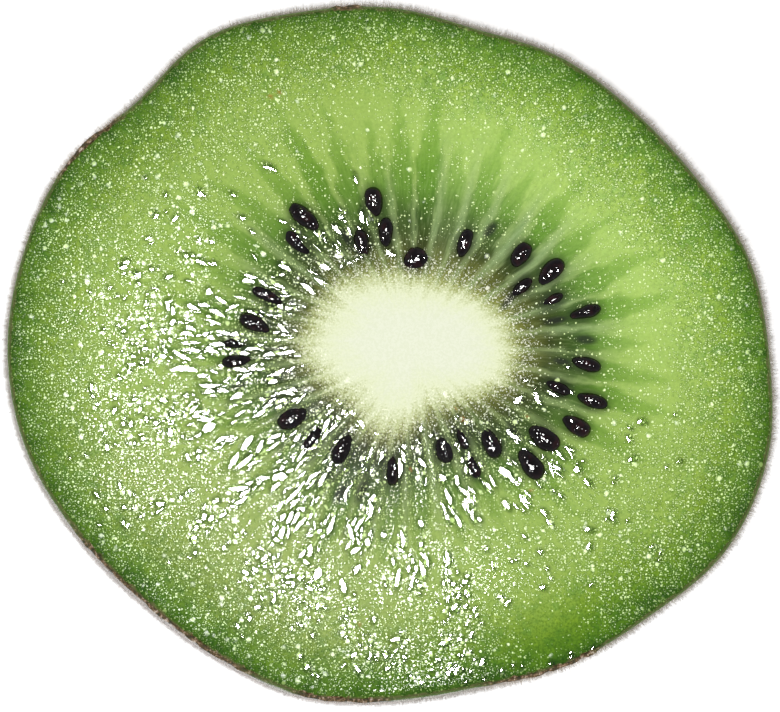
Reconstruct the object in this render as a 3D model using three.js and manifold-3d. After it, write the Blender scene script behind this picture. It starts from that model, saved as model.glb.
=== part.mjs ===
// Kiwi fruit half, cut crosswise at its widest and standing on its stem end with the cut face up.
// It is one solid, because skin, flesh, core and seeds have grown together: a blunt, slightly
// oval dome whose flat top has a pale core, a ring of ribs between sunken seed pockets, and seeds
// that stand proud of the cut. Units are millimetres and degrees, +Z is up, and bearings run
// anticlockwise from +X. The origin is the middle of the flat foot, on the table.
import * as THREE from "three";
import { mergeVertices } from "three/addons/utils/BufferGeometryUtils.js";
import Module from "manifold-3d";

// The whole half.
const HEIGHT = 34; // table to cut face
const RIM_RADII = [
  25.7, 25.2, 24.0, 23.4, 23.3, 22.9, 23.6, 24.1, 24.9, 24.3, 25.5, 25.8,
  25.9, 25.4, 24.3, 23.5, 23.4, 23.7, 23.3, 23.2, 24.1, 24.9, 26.3, 26.5,
]; // edge of the cut face, at even bearings

// The skin below the cut.
const BELLY = { radiusX: 25.6, radiusY: 23.4, settles: 20 }; // plain oval that the rim settles into
const BLUNTNESS = 2.35; // 2 is an ellipse, and more is a blunter end
const FOOT_SUNK = 0.7; // what the flat foot takes off the dome's tip
const SWELL = { all: 0.25, askew: 0.4, bearing: 236, depth: 5 }; // skin standing out past the cut

// The cut face.
const CORE_CENTRE = { x: 1.5, y: 0.7 };
const CORE_RADII = [
  6.9, 6.4, 5.5, 4.9, 4.6, 4.7, 5.2, 5.9, 6.1, 6.6, 5.7, 4.7, 5.2, 5.1, 3.9, 4.0, 5.1, 6.5,
]; // edge of the pale core, at even bearings
const CORE_CROWN = 0.12;
const POCKETS = { ribs: 36, relief: 0.13, sunk: 0.3, middle: 0.24, reach: 0.3 }; // shares of core to rim

// Seeds, narrow end towards the core: bearing and distance of the middle from the core's centre,
// length, width, and lean off the spoke.
const SEEDS = [
  [130, 11.4, 2.5, 1.2, 10], [105, 10.1, 2.0, 1.3, -8], [116, 7.8, 1.9, 1.0, -11],
  [103, 7.9, 2.0, 1.0, -15], [88, 5.8, 1.9, 1.6, -43], [63, 7.8, 2.1, 1.0, 9],
  [40, 9.6, 1.9, 1.2, 15], [28, 10.7, 2.2, 1.3, 20], [11, 12.0, 2.2, 0.9, 4],
  [354, 11.9, 2.1, 1.0, -11], [343, 12.8, 2.2, 1.0, 0], [334, 12.4, 2.1, 1.2, -7],
  [325, 10.9, 2.4, 1.5, 0], [315, 11.4, 2.4, 1.4, -7], [309, 8.5, 2.2, 1.2, -14],
  [287, 7.4, 1.8, 1.2, 1], [261, 8.6, 2.0, 0.9, 11], [236, 8.5, 2.2, 1.2, 6],
  [211, 9.5, 2.2, 1.4, -1], [185, 12.0, 2.0, 0.9, 3], [172, 10.8, 2.3, 1.1, -17],
];
const HALF_BURIED_SEEDS = [
  [28, 8.4, 2.0, 0.9, 14], [18, 10.0, 1.8, 0.8, 10], [344, 10.3, 2.0, 0.9, -9],
  [299, 7.1, 1.9, 0.9, -9], [297, 9.2, 1.9, 0.9, -9], [223, 9.2, 2.0, 0.9, 7],
  [179, 12.1, 1.9, 0.9, -7], [161, 10.3, 2.6, 1.0, -6], [138, 10.4, 2.4, 1.1, 0],
];
const SEED_THICKNESS = 0.85;
const SEED_PROUD = { whole: 0.42, buried: 0.2 }; // how far a seed stands out of the flesh
const SEED_TAPER = 0.3;

// How finely the surfaces are divided.
const SEGMENTS = 108; // round the fruit, 3 to a rib
const CORE_ROWS = 3;
const FLESH_ROWS = 10;
const SKIN_ROWS = 14;
const SKIN_CROWDING = 1.3; // above 1, the rows of skin crowd towards the cut
const SEED_SEGMENTS = 8;
const SEED_ROWS = 5;

const radians = THREE.MathUtils.degToRad;
const { smoothstep, lerp } = THREE.MathUtils;

// Radius at a bearing, on a smooth closed curve through evenly spaced radii.
function ringRadius(radii, bearing) {
  const at = (((bearing % 360) + 360) % 360) * (radii.length / 360);
  const first = Math.floor(at);
  const t = at - first;
  const [a, b, c, d] = [-1, 0, 1, 2].map((k) => radii[(first + k + radii.length) % radii.length]);
  return b + 0.5 * t * (c - a + t * (2 * a - 5 * b + 4 * c - d + t * (3 * (b - c) + d - a)));
}

function onSpoke(centre, bearing, radius) {
  const angle = radians(bearing);
  return { x: centre.x + radius * Math.cos(angle), y: centre.y + radius * Math.sin(angle) };
}

const FRUIT_AXIS = { x: 0, y: 0 };
const coreEdge = (bearing) => onSpoke(CORE_CENTRE, bearing, ringRadius(CORE_RADII, bearing));
const rimEdge = (bearing) => onSpoke(FRUIT_AXIS, bearing, ringRadius(RIM_RADII, bearing));

// Height of the cut face. share is 0 at the core's edge and 1 at the skin.
function faceHeight(bearing, share) {
  const inPockets = Math.exp(-(((share - POCKETS.middle) / POCKETS.reach) ** 2));
  const fromEdges = smoothstep(share, 0, 0.08) * (1 - smoothstep(share, 0.7, 0.95));
  const rib = POCKETS.relief * Math.cos(radians(POCKETS.ribs * bearing));
  return HEIGHT + fromEdges * inPockets * (rib - POCKETS.sunk);
}

function corePoint(bearing, share) {
  const edge = coreEdge(bearing);
  const crown = CORE_CROWN * (1 - share * share);
  return [
    lerp(CORE_CENTRE.x, edge.x, share),
    lerp(CORE_CENTRE.y, edge.y, share),
    HEIGHT + crown,
  ];
}

function fleshPoint(bearing, share) {
  const [from, to] = [coreEdge(bearing), rimEdge(bearing)];
  return [lerp(from.x, to.x, share), lerp(from.y, to.y, share), faceHeight(bearing, share)];
}

// A point of the skin. share is 0 at the cut and 1 at the edge of the flat foot.
function skinPoint(bearing, share) {
  const tall = HEIGHT + FOOT_SUNK;
  const lowest = Math.asin((HEIGHT / tall) ** (BLUNTNESS / 2));
  const drop = tall * Math.sin(lowest * share ** SKIN_CROWDING) ** (2 / BLUNTNESS);
  const narrowing = (1 - (drop / tall) ** BLUNTNESS) ** (1 / BLUNTNESS);
  const angle = radians(bearing);
  const oval = 1 / Math.hypot(Math.cos(angle) / BELLY.radiusX, Math.sin(angle) / BELLY.radiusY);
  const settled = smoothstep(drop, 0, BELLY.settles);
  const towardsSwell = Math.max(0, Math.cos(radians(bearing - SWELL.bearing)));
  const bulge = (drop / SWELL.depth) * Math.exp(1 - drop / SWELL.depth);
  const swell = (SWELL.all + SWELL.askew * towardsSwell ** 2) * bulge;
  const radius = (lerp(ringRadius(RIM_RADII, bearing), oval, settled) + swell) * narrowing;
  const { x, y } = onSpoke(FRUIT_AXIS, bearing, radius);
  return [x, y, HEIGHT - drop];
}

const rows = (count, place) => Array.from({ length: count }, (_, k) => place(k));

// The surface from the core's centre over the rim to the middle of the foot, row by row.
const SURFACE_ROWS = [
  ...rows(CORE_ROWS, (k) => (bearing) => corePoint(bearing, k / CORE_ROWS)),
  ...rows(FLESH_ROWS, (k) => (bearing) => fleshPoint(bearing, k / FLESH_ROWS)),
  ...rows(SKIN_ROWS + 1, (k) => (bearing) => skinPoint(bearing, k / SKIN_ROWS)),
  () => [FRUIT_AXIS.x, FRUIT_AXIS.y, 0],
];

// A lathe gives the fruit its closed skin of faces, and each point then takes its own place.
function fruitGeometry() {
  const profile = SURFACE_ROWS.map((_, k) => new THREE.Vector2(1, -k));
  const geometry = new THREE.LatheGeometry(profile, SEGMENTS);
  const position = geometry.getAttribute("position");
  for (let i = 0; i < position.count; i++) {
    const segment = Math.floor(i / profile.length) % SEGMENTS;
    const bearing = -360 * (segment / SEGMENTS); // this way round, the faces point out
    position.setXYZ(i, ...SURFACE_ROWS[i % profile.length](bearing));
  }
  return geometry;
}

// A seed lying in the face: an oval bead whose inner end is narrower.
function seedGeometry([bearing, distance, length, width, lean], proud) {
  const geometry = new THREE.SphereGeometry(0.5, SEED_SEGMENTS, SEED_ROWS);
  const position = geometry.getAttribute("position");
  for (let i = 0; i < position.count; i++) {
    const fullness = 1 + SEED_TAPER * 2 * position.getY(i);
    position.setX(i, position.getX(i) * fullness);
    position.setZ(i, position.getZ(i) * fullness);
  }
  geometry.scale(width, length, SEED_THICKNESS);
  geometry.rotateZ(radians(bearing + lean - 90));
  const { x, y } = onSpoke(CORE_CENTRE, bearing, distance);
  const level = HEIGHT - POCKETS.sunk + proud - SEED_THICKNESS / 2;
  return geometry.translate(x, y, level);
}

const wasm = await Module();
wasm.setup();

function solid(geometry) {
  const bare = geometry.clone();
  bare.deleteAttribute("normal");
  bare.deleteAttribute("uv");
  const merged = mergeVertices(bare, 1e-4);
  const corners = merged.index.array;
  const kept = [];
  for (let i = 0; i < corners.length; i += 3) {
    const [a, b, c] = corners.slice(i, i + 3);
    if (a !== b && b !== c && c !== a) kept.push(a, b, c);
  }
  const vertProperties = new Float32Array(merged.getAttribute("position").array);
  return new wasm.Manifold(
    new wasm.Mesh({ numProp: 3, vertProperties, triVerts: new Uint32Array(kept) }),
  );
}

function geometryOf(made) {
  const mesh = made.getMesh();
  const geometry = new THREE.BufferGeometry();
  geometry.setAttribute("position", new THREE.BufferAttribute(mesh.vertProperties, 3));
  geometry.setIndex(new THREE.BufferAttribute(mesh.triVerts, 1));
  geometry.computeVertexNormals();
  return geometry;
}

const seeds = [
  ...SEEDS.map((seed) => seedGeometry(seed, SEED_PROUD.whole)),
  ...HALF_BURIED_SEEDS.map((seed) => seedGeometry(seed, SEED_PROUD.buried)),
];
const fused = seeds.reduce((fruit, seed) => fruit.add(solid(seed)), solid(fruitGeometry()));

const half = new THREE.Mesh(
  geometryOf(fused),
  new THREE.MeshStandardMaterial({ color: "#86b33a", roughness: 0.35, metalness: 0 }),
);
half.name = "kiwi_half";

const part = new THREE.Group();
part.add(half);

export default part;
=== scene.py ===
"""Looks of the kiwi fruit half: wet green flesh with a pale core, seeds, juice and a fuzzy brown skin.

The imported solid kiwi_half is replaced by finer pieces of the same form. Shapes are worked out in
millimetres and degrees, as in the CAD, with bearings anticlockwise from +X, and scaled to metres
when a mesh is made.
"""

import bpy
import numpy as np
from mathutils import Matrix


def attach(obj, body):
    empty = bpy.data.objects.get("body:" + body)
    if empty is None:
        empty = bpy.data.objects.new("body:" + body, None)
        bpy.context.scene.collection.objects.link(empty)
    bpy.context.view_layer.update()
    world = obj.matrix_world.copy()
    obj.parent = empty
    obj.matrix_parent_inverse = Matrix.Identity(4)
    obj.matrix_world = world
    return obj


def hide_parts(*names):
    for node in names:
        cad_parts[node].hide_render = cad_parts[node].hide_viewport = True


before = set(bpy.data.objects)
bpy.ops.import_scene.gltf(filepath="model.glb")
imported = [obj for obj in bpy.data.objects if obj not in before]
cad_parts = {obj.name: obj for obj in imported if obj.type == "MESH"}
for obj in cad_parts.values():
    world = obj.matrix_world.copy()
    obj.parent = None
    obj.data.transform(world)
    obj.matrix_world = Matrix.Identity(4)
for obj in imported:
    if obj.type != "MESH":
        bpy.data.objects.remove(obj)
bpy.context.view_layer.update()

MM = 0.001
HEIGHT = 34.0  # table to cut face

# Outlines of the cut face, at even bearings, as in the CAD.
RIM_RADII = [
    25.7, 25.2, 24.0, 23.4, 23.3, 22.9, 23.6, 24.1, 24.9, 24.3, 25.5, 25.8,
    25.9, 25.4, 24.3, 23.5, 23.4, 23.7, 23.3, 23.2, 24.1, 24.9, 26.3, 26.5,
]
CORE_CENTRE = np.array([1.5, 0.7])
CORE_RADII = [
    6.9, 6.4, 5.5, 4.9, 4.6, 4.7, 5.2, 5.9, 6.1,
    6.6, 5.7, 4.7, 5.2, 5.1, 3.9, 4.0, 5.1, 6.5,
]
FRUIT_AXIS = np.array([0.0, 0.0])
CORE_CROWN = 0.12

# The skin below the cut, as in the CAD.
BELLY = (25.6, 23.4)
BELLY_SETTLES = 20.0
BLUNTNESS = 2.35
FOOT_SUNK = 0.7
SWELL_ALL, SWELL_ASKEW, SWELL_BEARING, SWELL_DEPTH = 0.25, 0.4, 236.0, 5.0
SKIN_THICKNESS = 0.08

# Seeds: bearing and distance of the middle from the core's centre, length, width, lean.
SEEDS = [
    (130, 11.4, 2.5, 1.2, 10), (105, 10.1, 2.0, 1.3, -8), (116, 7.8, 1.9, 1.0, -11),
    (103, 7.9, 2.0, 1.0, -15), (88, 5.8, 1.9, 1.6, -43), (63, 7.8, 2.1, 1.0, 9),
    (40, 9.6, 1.9, 1.2, 15), (28, 10.7, 2.2, 1.3, 20), (11, 12.0, 2.2, 0.9, 4),
    (354, 11.9, 2.1, 1.0, -11), (343, 12.8, 2.2, 1.0, 0), (334, 12.4, 2.1, 1.2, -7),
    (325, 10.9, 2.4, 1.5, 0), (315, 11.4, 2.4, 1.4, -7), (309, 8.5, 2.2, 1.2, -14),
    (287, 7.4, 1.8, 1.2, 1), (261, 8.6, 2.0, 0.9, 11), (236, 8.5, 2.2, 1.2, 6),
    (211, 9.5, 2.2, 1.4, -1), (185, 12.0, 2.0, 0.9, 3), (172, 10.8, 2.3, 1.1, -17),
]
HALF_BURIED_SEEDS = [
    (28, 8.4, 2.0, 0.9, 14), (18, 10.0, 1.8, 0.8, 10), (344, 10.3, 2.0, 0.9, -9),
    (299, 7.1, 1.9, 0.9, -9), (297, 9.2, 1.9, 0.9, -9), (223, 9.2, 2.0, 0.9, 7),
    (179, 12.1, 1.9, 0.9, -7), (161, 10.3, 2.6, 1.0, -6), (138, 10.4, 2.4, 1.1, 0),
]
SUNKEN_SEEDS = [
    (193, 12.1, 1.8, 0.6, 9), (236, 10.7, 2.0, 0.8, -8), (10, 9.9, 1.9, 0.5, 0),
    (2, 11.8, 1.8, 0.7, -7), (354, 10.2, 1.4, 0.5, -4), (56, 9.5, 1.5, 0.7, -8),
    (320, 9.0, 1.8, 0.7, -20), (201, 10.2, 1.4, 0.7, 9), (244, 11.2, 1.8, 0.9, -4),
    (25, 7.2, 2.0, 0.5, 25), (121, 8.6, 1.4, 0.7, -1), (251, 10.4, 2.0, 0.8, -1),
]
SEED_THICKNESS = 0.85
SEED_TAPER = 0.18
POCKET_SUNK = 0.3
SEED_PROUD = {"whole": 0.42, "buried": 0.2}

# Seed pockets, which are the dark fingers of the cut face: bearing beside the core, bearing at the
# tip, half width, distance of the tip from the core's centre, depth of tone.
POCKETS = [
    (2, 1, 0.75, 15.2, 1.0), (11, 11, 0.8, 17.4, 1.0), (19, 21, 0.85, 17.2, 0.9),
    (28.5, 32, 0.85, 15.5, 0.9), (39, 44, 0.9, 15.5, 1.0), (53, 55, 0.9, 13.8, 0.9),
    (64, 66, 0.85, 15.8, 0.8), (74, 76, 0.85, 13.8, 0.65), (85, 84.5, 0.8, 16.8, 1.0),
    (93.5, 93, 0.75, 16.5, 0.9), (103.5, 101, 0.8, 14.6, 0.9), (113, 111, 0.7, 16.5, 0.9),
    (121.5, 119.5, 0.65, 19.0, 1.0), (130, 130, 0.8, 17.5, 0.85), (139.5, 140, 0.85, 17.0, 0.9),
    (150, 149, 0.85, 18.0, 0.9), (161, 159, 0.8, 15.5, 0.8), (171, 168, 0.85, 16.5, 0.9),
    (182.5, 181, 0.8, 16.5, 0.9), (193, 192, 0.85, 15.5, 0.9), (203, 202, 0.85, 15.0, 0.9),
    (213, 213, 0.85, 15.0, 0.85), (223.5, 223, 0.85, 15.0, 0.85), (234.5, 236, 0.8, 14.5, 0.9),
    (245, 246, 0.85, 15.8, 1.0), (254.5, 254, 0.8, 14.5, 0.9), (263, 263, 0.75, 14.5, 0.8),
    (272, 273, 0.8, 13.5, 0.9), (286, 285, 0.8, 12.8, 0.9), (297, 297, 0.8, 12.8, 0.9),
    (307.5, 306, 0.8, 13.5, 0.9), (316, 314, 0.8, 15.5, 0.9), (325.5, 324, 0.9, 14.5, 0.9),
    (334, 333.5, 0.85, 17.0, 0.9), (343.5, 345, 0.8, 18.0, 1.0), (353, 352, 0.8, 17.0, 0.9),
]
FLASH_SIDE = 225.0  # bearing of the side of the face that glints most

# Rusty specks in the flesh: X, Y and radius.
BLEMISHES = [
    (-8.1, 17.6, 0.3), (-7.5, 17.9, 0.2), (4.5, -3.6, 0.16), (4.9, -4.3, 0.2), (9.3, -4.1, 0.16),
    (9.6, -9.1, 0.15), (1.4, -7.7, 0.18), (-2.1, -18.2, 0.15),
]

# Small round drops of juice near the rim: bearing, distance from the rim and width.
RIM_DROPS = [
    (283.1, 0.43, 0.26), (286.3, 0.39, 0.3), (289.6, 0.72, 0.32), (291.7, 0.9, 0.3), (293.1, 0.78, 0.24),
    (297.7, 0.41, 0.36), (301.4, 0.57, 0.3), (301.1, 0.31, 0.34), (304.8, 0.16, 0.3),
]
LEVEL_GLINT = (-7.4, -7.4)  # where level juice mirrors the flash to the camera
GLINT_SLOPE = 0.0032  # slope that juice needs to do so, per millimetre away from there
LEVEL_ENOUGH = 0.05  # slope up to which the flat top of a drop glints too

# The largest drops of juice: bearing, distance from the core's centre, length, width, lean, bend.
LARGE_DROPS = [
    (185.5, 15.6, 2.2, 0.6, -6, 0.25), (188, 14.4, 1.0, 0.42, 4, 0), (191.5, 9.3, 1.7, 0.42, 18, -0.3),
    (196.2, 12.5, 1.6, 0.55, 20, 0.1), (199.5, 8.7, 1.0, 0.5, -20, 0.3), (201.8, 14.9, 1.3, 0.7, 10, 0),
    (210.5, 13.0, 1.6, 0.55, 22, 0), (212.8, 14.4, 1.5, 0.55, 26, 0), (217, 7.0, 0.8, 0.6, 70, 0),
    (221.5, 13.6, 1.3, 0.45, -30, 0.1), (224.8, 12.7, 1.3, 0.75, -12, 0), (227, 10.6, 2.5, 0.36, -16, 0.3),
    (231.6, 12.9, 2.6, 0.42, -6, -0.1), (235.8, 13.5, 1.1, 0.5, -35, 0.1), (239.8, 9.8, 1.4, 0.45, -32, 0.2),
    (245.8, 11.0, 1.8, 0.36, 12, 0.5), (243.5, 15.6, 1.2, 0.6, 25, 0), (247.6, 16.8, 1.2, 0.7, 15, 0),
    (254.5, 14.4, 1.3, 0.42, -40, 0.2), (256.2, 15.6, 1.1, 0.5, -30, 0.2), (254.2, 17.0, 1.5, 0.5, 30, -0.2),
    (261.5, 13.0, 0.7, 0.5, 0, 0), (273, 12.1, 0.8, 0.5, 20, 0), (282.8, 9.2, 1.0, 0.6, 60, 0),
    (283.6, 10.6, 1.6, 0.45, 5, 0.1), (285, 12.4, 1.3, 0.42, 6, 0), (289, 11.3, 1.3, 0.5, -35, 0.1),
    (300.8, 12.6, 1.2, 0.5, 12, 0), (306.5, 10.7, 1.3, 0.7, 15, 0), (311, 10.3, 1.2, 0.34, 10, 0.1),
    (170.2, 13.5, 1.7, 0.42, -14, 0.1), (173.5, 8.7, 2.0, 0.45, -48, 0.1), (166.5, 13.4, 1.4, 0.36, -20, 0),
    (165, 14.3, 0.7, 0.6, 0, 0), (158.2, 12.0, 1.2, 0.5, 8, 0), (156.8, 11.0, 1.0, 0.42, -10, 0.1),
    (150.8, 8.1, 1.7, 0.45, -10, 0.1), (148.2, 10.2, 1.3, 0.45, 4, 0), (137.6, 8.0, 1.0, 0.6, 30, 0),
    (136.8, 10.7, 0.9, 0.6, 40, 0), (128.5, 15.5, 1.2, 0.42, 24, 0.1), (176, 12.8, 1.6, 0.4, -10, 0),
    (338, 9.2, 1.5, 0.5, -45, 0.1), (333.8, 8.2, 1.2, 0.45, 60, 0), (323.4, 14.1, 0.8, 0.6, 0, 0),
]
LARGE_DROPS_LONGER, LARGE_DROPS_WIDER = 1.1, 1.3
RIM_DROPS_WIDER = 1.25


def eased(x, low, high):
    """0 up to low, 1 from high on, and a smooth rise between."""
    t = np.clip((x - low) / (high - low), 0, 1)
    return t * t * (3 - 2 * t)


def hump(x, middle, spread):
    """1 at the middle, falling off smoothly to both sides."""
    return np.exp(-(((x - middle) / spread) ** 2))


def ring_radius(radii, bearing):
    """Radius at each bearing, on a smooth closed curve through evenly spaced radii."""
    radii = np.asarray(radii)
    at = (np.asarray(bearing) % 360) * (len(radii) / 360)
    first = np.floor(at).astype(int)
    t = at - first
    a, b, c, d = (radii[(first + k) % len(radii)] for k in (-1, 0, 1, 2))
    return b + 0.5 * t * (c - a + t * (2 * a - 5 * b + 4 * c - d + t * (3 * (b - c) + d - a)))


def on_spoke(centre, bearing, radius):
    angle = np.radians(bearing)
    return centre[0] + radius * np.cos(angle), centre[1] + radius * np.sin(angle)


def turned(x, y, degrees):
    angle = np.radians(degrees)
    return x * np.cos(angle) - y * np.sin(angle), x * np.sin(angle) + y * np.cos(angle)


def about_core(x, y):
    """Bearing and distance from the core's centre."""
    dx, dy = x - CORE_CENTRE[0], y - CORE_CENTRE[1]
    return np.degrees(np.arctan2(dy, dx)) % 360, np.hypot(dx, dy)


def angle_between(a, b):
    return (a - b + 180) % 360 - 180


def value_noise(x, y, size, seed):
    """Smooth noise from -1 to 1 with features of the given size."""
    lattice = np.random.default_rng(seed).uniform(-1, 1, (256, 256))
    u, v = np.asarray(x) / size + 1000, np.asarray(y) / size + 1000
    i, j = np.floor(u).astype(int), np.floor(v).astype(int)
    s, t = u - i, v - j
    s, t = s * s * (3 - 2 * s), t * t * (3 - 2 * t)
    corner = [[lattice[(i + a) % 256, (j + b) % 256] for b in (0, 1)] for a in (0, 1)]
    low = corner[0][0] * (1 - s) + corner[1][0] * s
    high = corner[0][1] * (1 - s) + corner[1][1] * s
    return low * (1 - t) + high * t


def skin_point(bearing, share, inset=0.0):
    """A point of the skin. share is 0 at the cut and 1 at the edge of the flat foot."""
    tall = HEIGHT + FOOT_SUNK
    lowest = np.arcsin((HEIGHT / tall) ** (BLUNTNESS / 2))
    drop = tall * np.sin(lowest * share) ** (2 / BLUNTNESS)
    narrowing = (1 - (drop / tall) ** BLUNTNESS) ** (1 / BLUNTNESS)
    angle = np.radians(bearing)
    oval = 1 / np.hypot(np.cos(angle) / BELLY[0], np.sin(angle) / BELLY[1])
    settled = eased(drop, 0, BELLY_SETTLES)
    towards_swell = np.maximum(0, np.cos(np.radians(bearing - SWELL_BEARING)))
    bulge = (drop / SWELL_DEPTH) * np.exp(1 - drop / SWELL_DEPTH)
    swell = (SWELL_ALL + SWELL_ASKEW * towards_swell**2) * bulge
    rim = ring_radius(RIM_RADII, bearing)
    radius = (rim * (1 - settled) + oval * settled + swell) * narrowing - inset
    x, y = on_spoke(FRUIT_AXIS, bearing, radius)
    return np.stack([x, y, HEIGHT - drop + np.zeros_like(x)], axis=-1)


# ---- meshes


def mesh_piece(name, geometry, material):
    """A smooth mesh object, riding on the fruit's one body.

    Its geometry is points in millimetres, faces and the points' attributes.
    """
    points, faces, attributes = geometry
    mesh = bpy.data.meshes.new(name)
    mesh.from_pydata((points * MM).tolist(), [], faces)
    for key, values in attributes.items():
        layer = mesh.attributes.new(key, "FLOAT", "POINT")
        layer.data.foreach_set("value", np.asarray(values, np.float32))
    mesh.materials.append(material)
    mesh.shade_smooth()
    piece = bpy.data.objects.new(name, mesh)
    bpy.context.scene.collection.objects.link(piece)
    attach(piece, "root")
    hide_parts("kiwi_half")
    return piece


def closed_rings(rings, top, bottom):
    """Points and faces of a closed body: rings of points from a top pole down to a bottom pole."""
    columns = len(rings[0])
    points = np.concatenate([*rings, [top, bottom]])
    ring = columns * np.arange(len(rings) - 1)[:, None]
    here = np.arange(columns)[None, :]
    after = (here + 1) % columns
    quads = np.stack([ring + here, ring + columns + here, ring + columns + after, ring + after], -1)
    faces = quads.reshape(-1, 4).tolist()
    top_at = len(rings) * columns
    last = top_at - columns
    faces += [[top_at, k, (k + 1) % columns] for k in range(columns)]
    faces += [[top_at + 1, last + (k + 1) % columns, last + k] for k in range(columns)]
    return points, faces


def joined(parts):
    """One geometry, with no attributes, from several sets of points and faces."""
    points, faces, count = [], [], 0
    for part_points, part_faces in parts:
        points.append(part_points)
        faces += [[i + count for i in face] for face in part_faces]
        count += len(part_points)
    return np.concatenate(points), faces, {}


# ---- the cut face

COLUMNS = 720
CORE_RINGS = 24
FLESH_RINGS = 104
HIDDEN_RINGS = 7
HIDDEN_INSET = 0.6
BEARINGS = np.arange(COLUMNS) * 360 / COLUMNS
SEED_RING_DIP, POCKET_DIP, WALL_RIDGE = 0.16, 0.16, 0.08
FACE_UNEVENNESS = 0.02
RIM_ROUNDING, RIM_ROUNDING_WIDTH = 0.16, 0.5


def bent(bearing, distance):
    """Bearings as the pockets and walls see them, since they waver on their way out."""
    return bearing + 0.8 * value_noise(distance, bearing / 3.5, 4.5, 3)


def pocket_mask(bearing, distance):
    """How far inside a seed pocket each point lies, 0 outside to 1 well inside."""
    mask = np.zeros_like(distance)
    core = ring_radius(CORE_RADII, bearing)
    spoke = bent(bearing, distance)
    ragged = 0.2 * value_noise(distance, bearing / 1.6, 0.9, 6)
    ragged += 0.1 * value_noise(distance, bearing, 0.5, 7)
    room = 0.34 * np.radians(360 / len(POCKETS)) * distance
    for near, tip_bearing, half_width, tip, depth in POCKETS:
        along = (distance - core) / (tip - core)
        middle = near + angle_between(tip_bearing, near) * eased(along, 0.2, 1.0)
        across = np.abs(angle_between(spoke, middle)) * np.radians(1) * distance
        width = half_width * np.interp(along, [0, 0.3, 0.6, 0.8, 0.92, 1.1], [0.45, 0.9, 1, 0.72, 0.4, 0.15])
        width = np.minimum(width, room) + ragged
        soft = 0.11 + 0.2 * eased(along, 0.3, 1.0)
        inside = eased(width - across, -soft, soft)
        fade = 1 - 0.45 * eased(along, 0.5, 1.0)
        inside *= depth * fade * (1 - eased(along, 0.98, 1.18))
        mask = np.maximum(mask, inside)
    return mask


def wall_mask(bearing, distance):
    """The thin pale walls between the seed pockets, some plainer than others."""
    near = np.array([p[0] for p in POCKETS])
    tip = np.array([p[1] for p in POCKETS])
    near_wall = near + angle_between(np.roll(near, -1), near) / 2
    tip_wall = tip + angle_between(np.roll(tip, -1), tip) / 2
    lean = angle_between(tip_wall, near_wall)
    strength = np.random.default_rng(8).uniform(0.25, 1.0, len(POCKETS))
    reach = np.random.default_rng(9).uniform(12.0, 16.5, len(POCKETS))
    spoke = bent(bearing, distance)
    mask = np.zeros_like(distance)
    for k in range(len(POCKETS)):
        middle = near_wall[k] + lean[k] * eased(distance, 8, 15)
        away = np.abs(angle_between(spoke, middle)) * np.radians(1) * distance
        line = hump(away, 0, 0.04 + 0.025 * distance) * (1 - eased(distance, reach[k] - 5, reach[k]))
        mask = np.maximum(mask, strength[k] * line)
    return mask


def blemish_mask(x, y):
    """1 in the middle of each of the small rusty specks."""
    mask = np.zeros_like(x)
    for at_x, at_y, size in BLEMISHES:
        away = np.hypot(x - at_x, y - at_y) * (1 + 0.4 * value_noise(x, y, 0.25, 17))
        mask = np.maximum(mask, 1 - eased(away, 0.4 * size, size))
    return mask


def oval_falloff(x, y, seeds, spread):
    """1 in the middle of a seed, falling to 0 about spread millimetres outside it."""
    painted_seed_shade = np.zeros_like(x)
    for bearing, distance, length, width, lean in seeds:
        cx, cy = on_spoke(CORE_CENTRE, bearing, distance)
        along, across = turned(x - cx, y - cy, -bearing - lean)
        reach = np.hypot(along / (length / 2 + spread), across / (width / 2 + spread))
        painted_seed_shade = np.maximum(painted_seed_shade, 1 - eased(reach, 0.35, 1.1))
    return painted_seed_shade


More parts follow.
